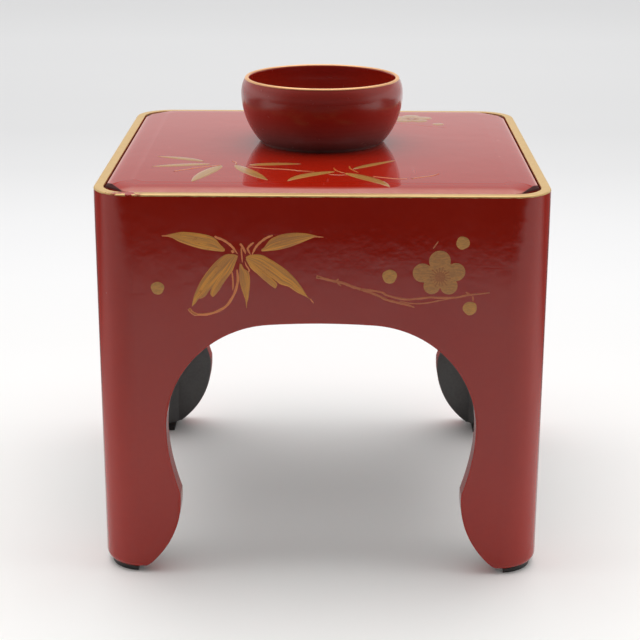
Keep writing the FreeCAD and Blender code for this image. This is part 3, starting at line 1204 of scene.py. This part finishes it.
    def heart(self, blossom: Blossom) -> None:
        """Draw the middle of a blossom: a disc with stamens round it."""
        u, v = blossom.centre
        self.dot(Dot(blossom.centre, blossom.heart * self.HEART_DISC))
        for index, angle in enumerate(turns(self.STAMENS)):
            turn = angle + self.STAMEN_TURN
            far = blossom.heart * (0.92 + 0.14 * math.sin(index * 2.4))
            root = (u + math.cos(turn), v + math.sin(turn))
            tip = (u + math.cos(turn) * far, v + math.sin(turn) * far)
            self.stroke(Stroke((root, tip), self.STAMEN_HALF, (1.0, 1.0)))
            self.dot(Dot(tip, self.STAMEN_TIP))

    def piece(self, name: str, material: bpy.types.Material, slot: str) -> bpy.types.Object:
        """Turn what is drawn into a piece of the object.

        Args:
            name: the piece's name.
            material: its finish.
            slot: not used.

        Returns:
            The piece, riding on the body of its face.
        """
        mesh = bpy.data.meshes.new(name)
        mesh.from_pydata([tuple(p) for p in self.points], [], self.faces)
        layer = mesh.uv_layers.new(name="along")
        for loop in mesh.loops:
            layer.data[loop.index].uv = self.along[loop.vertex_index]
        for face in mesh.polygons:
            face.use_smooth = True
        mesh.update()
        made = bpy.data.objects.new(name, mesh)
        bpy.context.scene.collection.objects.link(made)
        dress(made, material)
        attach(made, self.ground.body)
        LOG.info("%s: %d faces", name, len(self.faces))
        return made


@dataclass(frozen=True)
class Ornament:
    """Bamboo and plum on one face."""

    golds: Palette
    leaves: tuple[Leaf, ...]
    blades: tuple[Blade, ...]
    stems: tuple[Stroke, ...]
    branches: tuple[Stroke, ...]
    buds: tuple[Dot, ...]
    blossom: Blossom

    def build(self, ground: Ground, effects: Effects) -> None:
        """Draw the ornament, each gold as a piece of its own.

        Args:
            ground: the face.
            effects: the shared groups.
        """
        drawn = (
            (Layer.BRANCH, self.golds.branch, ((Relief.stroke, self.branches),)),
            (Layer.BLOSSOM, self.golds.bloom, ((Relief.blossom, (self.blossom,)),)),
            (Layer.HEART, self.golds.heart, ((Relief.heart, (self.blossom,)),)),
            (Layer.BUDS, self.golds.bud, ((Relief.dot, self.buds),)),
            (Layer.LEAVES, self.golds.leaf, ((Relief.leaf, self.leaves), (Relief.blade, self.blades))),
            (Layer.STEMS, self.golds.stem, ((Relief.stroke, self.stems),)),
        )
        for layer, gold, runs in drawn:
            name, height = layer.value
            relief = Relief(ground, height)
            for draw, shapes in runs:
                for shape in shapes:
                    draw(relief, shape)
            relief.piece(ground.face.value + "_" + name, gold.material(effects), "red_lacquer")


FRONT_DRAWING = Ornament(
    golds=FRONT_GOLDS,
    leaves=(),
    blades=(
        Blade(((-44.3, 163.8), (-45.3, 164.8), (-46.5, 166.2), (-48.3, 168.6), (-50.5, 170.0), (-55.0, 171.1),
               (-60.0, 171.7), (-64.0, 171.8), (-67.0, 171.2), (-70.2, 170.4), (-72.0, 169.9)),
              ((-44.2, 163.3), (-44.8, 162.5), (-48.0, 162.6), (-54.0, 163.3), (-60.0, 165.0), (-65.0, 166.9),
               (-68.5, 168.9), (-72.0, 169.7))),
        Blade(((-27.4, 163.8), (-26.4, 164.6), (-25.2, 166.3), (-23.5, 168.5), (-20.5, 170.2), (-17.0, 171.2),
               (-13.0, 171.7), (-9.0, 171.6), (-6.0, 171.2), (-3.0, 170.4), (-1.8, 170.0)),
              ((-27.6, 163.3), (-27.2, 162.7), (-24.0, 162.9), (-20.0, 163.3), (-15.0, 164.5), (-10.0, 166.5),
               (-6.0, 168.3), (-3.5, 169.4), (-1.8, 169.8))),
        Blade(((-39.5, 161.2), (-43.0, 161.5), (-45.5, 160.5), (-48.5, 158.0), (-51.5, 154.6), (-54.5, 150.5),
               (-57.0, 146.0), (-58.8, 141.5), (-59.7, 138.0), (-59.9, 136.2)),
              ((-38.6, 160.6), (-41.0, 157.0), (-44.5, 152.0), (-48.5, 147.2), (-51.8, 143.4), (-53.3, 141.2),
               (-55.3, 140.0), (-56.6, 139.8), (-58.2, 137.6), (-59.7, 136.2))),
        Blade(((-40.5, 160.5), (-44.0, 156.0), (-48.0, 150.0), (-50.5, 145.5), (-51.4, 142.6),
               (-50.6, 141.0)),
              ((-38.2, 160.6), (-38.7, 159.0), (-39.6, 156.5), (-40.8, 153.4), (-42.8, 150.5), (-45.0, 147.3),
               (-47.5, 143.4), (-49.8, 140.8))),
        Blade(((-34.5, 160.2), (-33.0, 161.0), (-30.0, 161.4), (-27.0, 161.1), (-24.0, 159.5), (-20.0, 157.0),
               (-16.0, 154.0), (-12.5, 150.5), (-9.5, 146.5), (-7.3, 142.7), (-6.0, 140.7), (-5.0, 140.1)),
              ((-34.8, 159.6), (-30.5, 156.0), (-26.0, 152.3), (-22.5, 149.6), (-20.2, 147.7), (-19.0, 146.9),
               (-17.0, 146.3), (-14.8, 145.6), (-12.5, 143.9), (-10.0, 142.5), (-7.5, 141.3), (-5.0, 139.9))),
        Blade(((-34.2, 159.6), (-30.0, 156.5), (-26.0, 153.0), (-22.5, 149.8), (-20.4, 147.4),
               (-20.7, 145.6)),
              ((-34.8, 159.0), (-33.8, 157.0), (-32.5, 154.6), (-29.5, 151.8), (-26.5, 149.0), (-23.5, 146.4),
               (-21.4, 145.0))),
        Blade(((-37.6, 157.0), (-37.9, 153.0), (-37.9, 149.0), (-37.3, 146.0), (-36.2, 142.5), (-35.2, 139.5),
               (-34.7, 135.5)),
              ((-36.5, 156.5), (-35.5, 154.5), (-34.3, 153.7), (-33.2, 152.5), (-32.8, 149.0), (-33.0, 145.0),
               (-33.5, 141.0), (-34.3, 138.0), (-34.5, 135.5))),
    ),
    stems=(
        Stroke(((-48.8, 169.9), (-48.0, 169.2), (-45.0, 168.0), (-42.0, 165.9), (-40.0, 163.7),
                (-38.5, 161.5)), 0.58),
        Stroke(((-22.3, 170.3), (-25.0, 169.2), (-28.0, 167.0), (-30.0, 164.8), (-31.2, 162.5),
                (-31.9, 161.0)), 0.55),
        Stroke(((-37.4, 166.3), (-36.5, 165.3), (-35.3, 163.0), (-34.8, 161.5)), 0.55),
        Stroke(((-31.0, 166.9), (-32.6, 165.6), (-33.8, 164.0), (-33.2, 162.5), (-32.5, 161.0)), 0.50),
        Stroke(((-41.0, 163.3), (-40.3, 162.0)), 0.70, (0.9, 0.9)),
        Stroke(((-36.8, 164.5), (-36.6, 161.0), (-36.3, 157.5)), 0.35),
        Stroke(((-38.8, 154.0), (-38.5, 150.0), (-38.8, 147.0), (-40.0, 143.0), (-41.5, 140.0),
                (-43.5, 137.0), (-46.0, 135.0), (-49.5, 133.3), (-53.0, 132.4), (-56.0, 132.2),
                (-58.7, 132.5), (-60.3, 133.7), (-61.3, 135.2)), 0.62, (0.65, 1.0)),
        Stroke(((-57.6, 132.3), (-58.9, 132.6), (-60.3, 133.7), (-61.2, 135.0)), 0.80, (0.6, 0.9)),
        Stroke(((-41.2, 153.0), (-40.8, 150.0), (-40.7, 146.5), (-40.9, 144.0)), 0.38),
        Stroke(((-33.8, 152.8), (-33.2, 153.8), (-34.5, 156.0), (-35.2, 158.0)), 0.35),
        Stroke(((-73.0, 169.8), (-68.0, 169.9)), 0.28),
        Stroke(((-4.0, 169.9), (0.9, 169.6)), 0.28),
        Stroke(((-5.2, 140.2), (-3.5, 138.0)), 0.28),
    ),
    branches=(
        Stroke(((-1.8, 150.7), (2.0, 149.6), (6.0, 148.7), (10.0, 147.8), (14.0, 146.2), (18.0, 144.9)),
               0.72, (1.0, 1.0)),
        Stroke(((-2.4, 150.8), (-0.8, 150.4)), 0.90, (0.9, 0.9)),
        Stroke(((7.8, 149.8), (6.5, 148.4)), 0.45),
        Stroke(((9.0, 146.5), (7.0, 148.4)), 0.45),
        Stroke(((18.0, 144.9), (23.0, 144.3), (28.0, 143.4), (30.0, 142.2), (35.0, 140.8), (40.0, 140.1),
                (45.0, 140.6), (50.0, 141.2), (55.0, 141.0), (62.0, 141.2), (67.0, 142.3), (72.0, 142.9),
                (77.5, 143.6)), 0.56, (1.0, 0.5)),
        Stroke(((18.0, 144.9), (25.0, 142.4), (30.0, 140.0), (34.0, 138.9), (40.0, 137.4), (43.0, 136.3)),
               0.62, (1.0, 0.5)),
        Stroke(((36.0, 139.3), (42.0, 138.2), (48.0, 138.4), (55.0, 139.8), (62.0, 141.0)), 0.35),
        Stroke(((66.5, 143.8), (69.5, 142.0)), 0.45),
        Stroke(((69.8, 141.9), (70.0, 139.4)), 0.42),
        Stroke(((51.0, 164.5), (53.3, 168.0)), 0.35),
    ),
    buds=(Dot((-75.6, 144.9), 3.2), Dot((31.3, 151.1), 3.5), Dot((64.5, 167.2), 3.2),
          Dot((68.6, 136.0), 3.4)),
    blossom=Blossom((54.5, 151.0), ((54.2, 158.9, 5.2), (46.0, 153.0, 4.7), (62.0, 153.5, 4.5),
                                    (50.6, 146.4, 4.0), (58.8, 146.5, 4.2)), 4.5),
)
LID_DRAWING = Ornament(
    golds=LID_GOLDS,
    leaves=(
        Leaf((-58.4, -43.6), (-81.8, -32.7), 2.8, -1.4),
        Leaf((-54.6, -49.6), (-82.3, -55.8), 3.0, -0.6),
        Leaf((-48.9, -52.9), (-60.4, -87.9), 3.5, -0.9),
        Leaf((-42.2, -51.6), (-25.3, -83.9), 3.4, -0.3),
        Leaf((-35.6, -51.4), (-10.7, -48.4), 2.9, 1.3),
        Leaf((5.8, -65.0), (-16.2, -85.4), 3.4, -3.0),
        Leaf((10.8, -68.0), (31.2, -94.4), 3.6, 1.3),
        Leaf((14.5, -59.0), (35.4, -39.4), 2.4, 0.8),
    ),
    blades=(),
    stems=(
        Stroke(((-70.6, -66.0), (-65.6, -62.0), (-59.6, -57.5), (-54.6, -54.6), (-49.2, -52.1)),
               0.60, (1.0, 0.6)),
        Stroke(((-44.2, -43.1), (-42.5, -45.6), (-41.9, -51.1)), 0.50),
        Stroke(((-35.8, -55.1), (-30.8, -57.1), (-24.8, -59.0), (-17.9, -60.5), (-10.4, -63.7),
                (-3.9, -65.3)), 0.55),
        Stroke(((3.0, -70.8), (8.0, -72.3), (12.0, -72.0)), 0.50),
        Stroke(((23.9, -74.9), (30.9, -78.2), (34.8, -79.7), (39.6, -79.9)), 0.60, (0.5, 1.0)),
        Stroke(((41.8, -79.2), (46.8, -75.9), (51.7, -72.9), (55.2, -68.5)), 0.50),
        Stroke(((5.3, -57.0), (6.5, -62.5), (9.0, -66.5), (10.8, -68.3)), 0.50),
        Stroke(((12.8, -53.1), (13.2, -57.5), (14.9, -62.5), (17.1, -67.0)), 0.50),
    ),
    branches=(Stroke(((32.8, 57.8), (44.8, 55.3), (57.7, 48.8), (65.6, 45.4)), 0.50),),
    buds=(Dot((62.0, 54.8), 3.4),),
    blossom=Blossom((48.2, 69.9), ((48.2, 77.1, 5.1), (41.2, 72.3, 4.9), (55.1, 72.3, 4.9), (43.9, 64.3, 4.7),
                                   (52.4, 64.3, 4.7)), 3.8),
)


@dataclass
class Case:
    """Legs, aprons, soles, floor board and tongues."""

    wall: float = 0.012
    drawing: Ornament = FRONT_DRAWING
    black: BlackFinish = field(default_factory=BlackFinish)
    wood: WoodFinish = field(default_factory=WoodFinish)

    def build(self, nodes: dict[str, bpy.types.Object], effects: Effects) -> None:
        """Dress the case's nodes and lay on the front's ornament.

        Args:
            nodes: the frame's nodes by name.
            effects: the shared groups.
        """
        low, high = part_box("leg_front_right")
        lacquer = CaseFinish(rim=high.z, inner_face=high.x - self.wall)
        finishes = {
            "leg_": lacquer.material(effects),
            "sole_": self.black.material(effects),
            "tongue_": self.wood.material(effects),
        }
        finishes["apron_"] = finishes["leg_"]
        finishes["floor_board"] = finishes["sole_"]
        for name, piece in nodes.items():
            for start, finish in finishes.items():
                if name.startswith(start):
                    dress(piece, finish)
                    LOG.info("%s: %s", name, finish.name)
        front = [nodes[name] for name in ("apron_front", "leg_front_left", "leg_front_right")]
        ground = Ground(face=Face.FRONT, origin=Vector((0, low.y, 0)), across=RIGHT, up=UP, out=-BACK,
                        body="case", surface=surface_of(front))
        self.drawing.build(ground, effects)


@dataclass
class Lid:
    """The drop-in lid."""

    drawing: Ornament = LID_DRAWING

    def build(self, nodes: dict[str, bpy.types.Object], effects: Effects) -> None:
        """Dress the lid and lay on its ornament.

        Args:
            nodes: the frame's nodes by name.
            effects: the shared groups.
        """
        low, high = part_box("lid_panel")
        dress(nodes["lid_panel"], LidFinish(bottom=low.z, half=high.x).material(effects))
        LOG.info("lid_panel: lid_lacquer")
        ground = Ground(face=Face.LID, origin=Vector((0, 0, high.z)), across=RIGHT, up=BACK, out=UP,
                        body="lid", surface=surface_of([nodes["lid_panel"]]))
        self.drawing.build(ground, effects)


@dataclass
class Bowl:
    """The bowl on the lid."""

    def build(self, nodes: dict[str, bpy.types.Object], effects: Effects) -> None:
        """Dress the bowl.

        Args:
            nodes: the frame's nodes by name.
            effects: the shared groups.
        """
        low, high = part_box("bowl")
        middle = tuple((low + high) / 2)
        dress(nodes["bowl"], BowlFinish(middle=middle, foot=low.z, top=high.z).material(effects))
        LOG.info("bowl: bowl_lacquer")


@dataclass
class Stage:
    """Pale floor, soft light and the camera, with places in metres and levels as shares of white."""

    floor_half: float = 7.0
    floor_roughness: float = 0.8
    floor_specular: float = 0.15
    floor_end: Pair = (-0.24, -0.56)
    mirrored_end: Pair = (-0.57, -0.75)
    end_share: float = 0.95
    dark_from: Pair = (-0.12, 0.22)
    dark_until: Pair = (0.85, 0.50)
    dark_sides: Pair = (-0.1, 0.1)
    dark_shares: Pair = (0.86, 0.90)
    left_reach: Pair = (-0.08, -0.32)
    left_share: float = 0.20
    cloth: Pair = (0.985, 1.0)
    blue_reach: Pair = (-0.10, 0.60)
    blue_shares: Pair = (0.982, 1.006)
    pale: float = 0.955
    seen_factor: float = 0.5
    seen_start: float = 0.05
    # Floor levels as the camera sees them, by distance back: a painted shadow just behind the case and a
    # painted darkening farther back.
    seen_with_painted_shade: tuple[Pair, ...] = (
        (0.02, 0.995), (0.05, 0.935), (0.068, 0.900), (0.0915, 0.865), (0.1175, 0.840), (0.145, 0.825),
        (0.175, 0.808), (0.21, 0.800), (0.25, 0.795), (0.345, 0.758), (0.45, 0.70), (0.55, 0.68),
        (0.65, 0.705), (0.765, 0.746), (0.915, 0.788))
    sky_low: float = 1.25
    sky_high: float = 0.90
    sky_seen: float = 0.88
    sky_top: Pair = (0.70, 0.88)
    flank_reach: Pair = (0.35, 0.80)
    flank_levels: Pair = (0.88, 1.22)
    front_reach: Pair = (0.02, -0.45)
    front_share: float = 0.93
    mirrored: tuple[Pair, ...] = ((0.0, 0.84), (0.17, 0.83), (0.225, 0.53), (0.55, 0.48), (0.85, 1.0))
    mirrored_front: Pair = (-0.05, -0.75)
    mirrored_share: float = 0.80
    lamp_side: float = 1.5
    lamp_height: float = 1.35
    lamp_back: float = 0.40
    lamp_power: float = 10.0
    eye: Vector = field(default_factory=lambda: Vector((5.960, -831.260, 361.429)) * MM)
    yaw: float = -0.520
    pitch: float = 17.702
    roll: float = 0.187
    lens: float = 92.395

    def build(self) -> None:
        """Set floor, world, lamp, camera and view transform."""
        self._floor()
        self._world()
        self._lamp()
        self._camera()
        bpy.context.scene.view_settings.view_transform = "Standard"

    def _floor(self) -> None:
        """A wide pale floor that ends, for light and reflections, a little before the camera."""
        half = self.floor_half
        corners = [(-half, -half, 0), (half, -half, 0), (half, half, 0), (-half, half, 0)]
        mesh = bpy.data.meshes.new("floor")
        mesh.from_pydata(corners, [], [(0, 1, 2, 3)])
        floor = bpy.data.objects.new("floor", mesh)
        bpy.context.scene.collection.objects.link(floor)
        graph = MaterialGraph("pale_floor")
        x, y = graph.split(graph.place)[:2]
        path = graph.node("ShaderNodeLightPath").outputs
        glossy = path["Is Glossy Ray"]
        end = graph.lerp(glossy, graph.ease(y, *self.floor_end), graph.ease(y, *self.mirrored_end))
        behind = graph.product(glossy, graph.ease(y, *self.dark_from), graph.ease(y, *self.dark_until),
                               graph.span(graph.ease(x, *self.dark_sides), *self.dark_shares))
        left = graph.product(glossy, graph.ease(x, *self.left_reach), self.left_share)
        felt = graph.product(graph.rest(graph.product(end, self.end_share)), graph.rest(behind),
                             graph.rest(left), self.pale)
        # Painted shadow behind the case and painted darkening far back, for camera rays only.
        seen_with_painted_shade = graph.ramp(graph.calc("MULTIPLY_ADD", y, self.seen_factor, self.seen_start), self.seen_with_painted_shade)
        cloth = graph.span(graph.noise(graph.place, scale=3.0, detail=3.0), *self.cloth)
        level = graph.product(graph.lerp(path["Is Camera Ray"], felt, seen_with_painted_shade), cloth)
        blue = graph.product(level, graph.span(graph.ease(y, *self.blue_reach), *self.blue_shares))
        white = graph.node("ShaderNodeCombineColor", {0: level, 1: level, 2: blue})
        dress(floor, graph.finish({
            "Base Color": white.outputs[0],
            "Roughness": self.floor_roughness,
            "Specular IOR Level": self.floor_specular,
        }))

    def _world(self) -> None:
        """Soft light from behind and both sides, little from the front, and what the lacquer mirrors."""
        world = bpy.data.worlds.new("studio")
        world.use_nodes = True
        bpy.context.scene.world = world
        graph = Graph(world.node_tree)
        x, y, z = graph.split(graph.node("ShaderNodeTexCoord").outputs["Generated"])
        path = graph.node("ShaderNodeLightPath").outputs
        mirrored = graph.product(graph.ramp(z, self.mirrored),
                                 graph.fade(y, self.mirrored_front, self.mirrored_share))
        flank = graph.span(graph.ease(graph.calc("ABSOLUTE", x), *self.flank_reach), *self.flank_levels)
        ring = graph.product(self.sky_low, flank, graph.fade(y, self.front_reach, self.front_share))
        sky = graph.lerp(graph.ease(z, *self.sky_top), ring, self.sky_high)
        strength = graph.lerp(path["Is Glossy Ray"], sky, mirrored)
        strength = graph.lerp(path["Is Camera Ray"], strength, self.sky_seen)
        light = graph.node("ShaderNodeBackground", {"Color": rgb(1.0, 1.0, 1.0), "Strength": strength})
        graph.node("ShaderNodeOutputWorld", {"Surface": light.outputs[0]})

    def _lamp(self) -> None:
        """One wide lamp overhead, a little to the back."""
        lamp = bpy.data.lights.new("overhead", "AREA")
        lamp.size = self.lamp_side
        lamp.energy = self.lamp_power
        holder = bpy.data.objects.new("overhead", lamp)
        holder.location = (0.0, self.lamp_back, self.lamp_height)
        bpy.context.scene.collection.objects.link(holder)

    def _camera(self) -> None:
        """The camera, at the angle of the photograph."""
        yaw, pitch, roll = (math.radians(a) for a in (self.yaw, self.pitch, self.roll))
        ahead = Vector((math.sin(yaw) * math.cos(pitch), math.cos(yaw) * math.cos(pitch), -math.sin(pitch)))
        right = Vector((math.cos(yaw), -math.sin(yaw), 0.0))
        up = right.cross(ahead)
        tilted = right * math.cos(roll) + up * math.sin(roll)
        upright = up * math.cos(roll) - right * math.sin(roll)
        data = bpy.data.cameras.new("camera")
        data.lens = self.lens
        data.sensor_width = 36.0
        data.clip_start = 0.01
        camera = bpy.data.objects.new("camera", data)
        turn = Matrix((tilted, upright, -ahead)).transposed().to_4x4()
        camera.matrix_world = Matrix.Translation(self.eye) @ turn
        bpy.context.scene.collection.objects.link(camera)
        bpy.context.scene.camera = camera


def main() -> None:
    """Load the frame and build each sub-assembly in order."""
    logging.basicConfig(level=logging.INFO, format="%(name)s %(message)s")
    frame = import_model()
    effects = Effects()
    Case().build(frame["nodes"], effects)
    Lid().build(frame["nodes"], effects)
    Bowl().build(frame["nodes"], effects)
    Stage().build()


if __name__ == "__main__":
    main()
